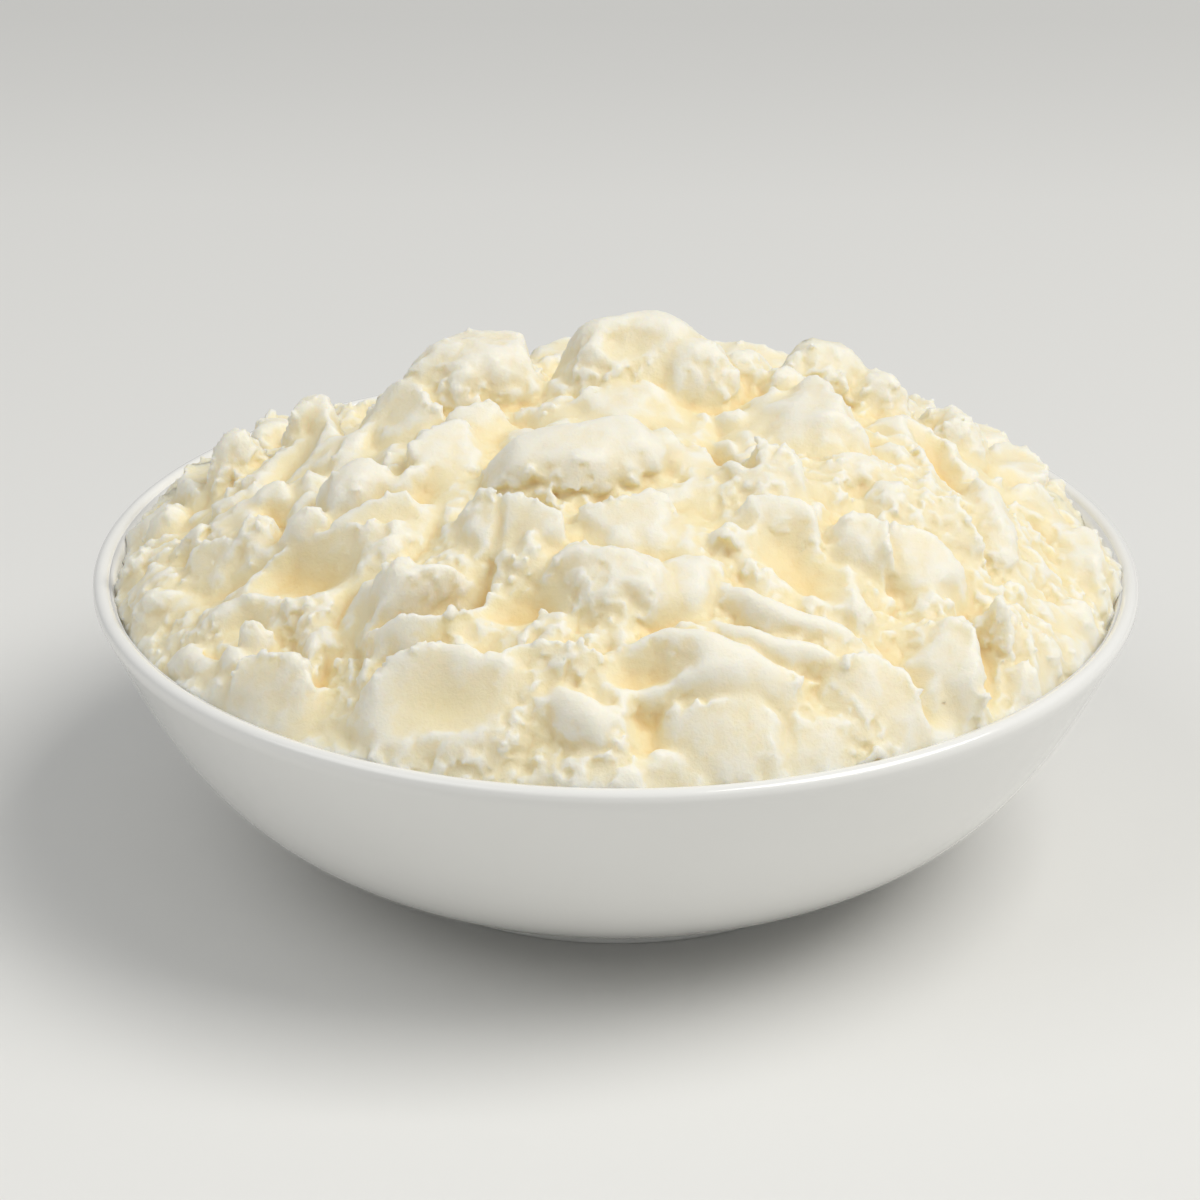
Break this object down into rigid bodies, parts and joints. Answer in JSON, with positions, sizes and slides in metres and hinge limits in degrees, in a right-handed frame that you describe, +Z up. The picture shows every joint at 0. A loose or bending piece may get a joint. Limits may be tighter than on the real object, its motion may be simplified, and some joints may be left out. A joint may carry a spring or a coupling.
{
  "type": "mashed potato side",
  "caption": "Round white porcelain bowl with a foot ring, heaped with rough spooned mashed potato.",
  "frame": {"origin": "centre of the foot ring, on the surface the bowl stands on", "axes": "+Z up along the bowl's axis, +X to the right of the heap's front, -Y towards the front"},
  "size_m": [0.21, 0.21, 0.1083],
  "materials": {
    "porcelain": "glossy white glaze",
    "potato": "moist, soft and crumbly, pale cream yellow"
  },
  "bodies": {
    "root": {"bowl": "porcelain", "mash": "potato"}
  },
  "joints": []
}
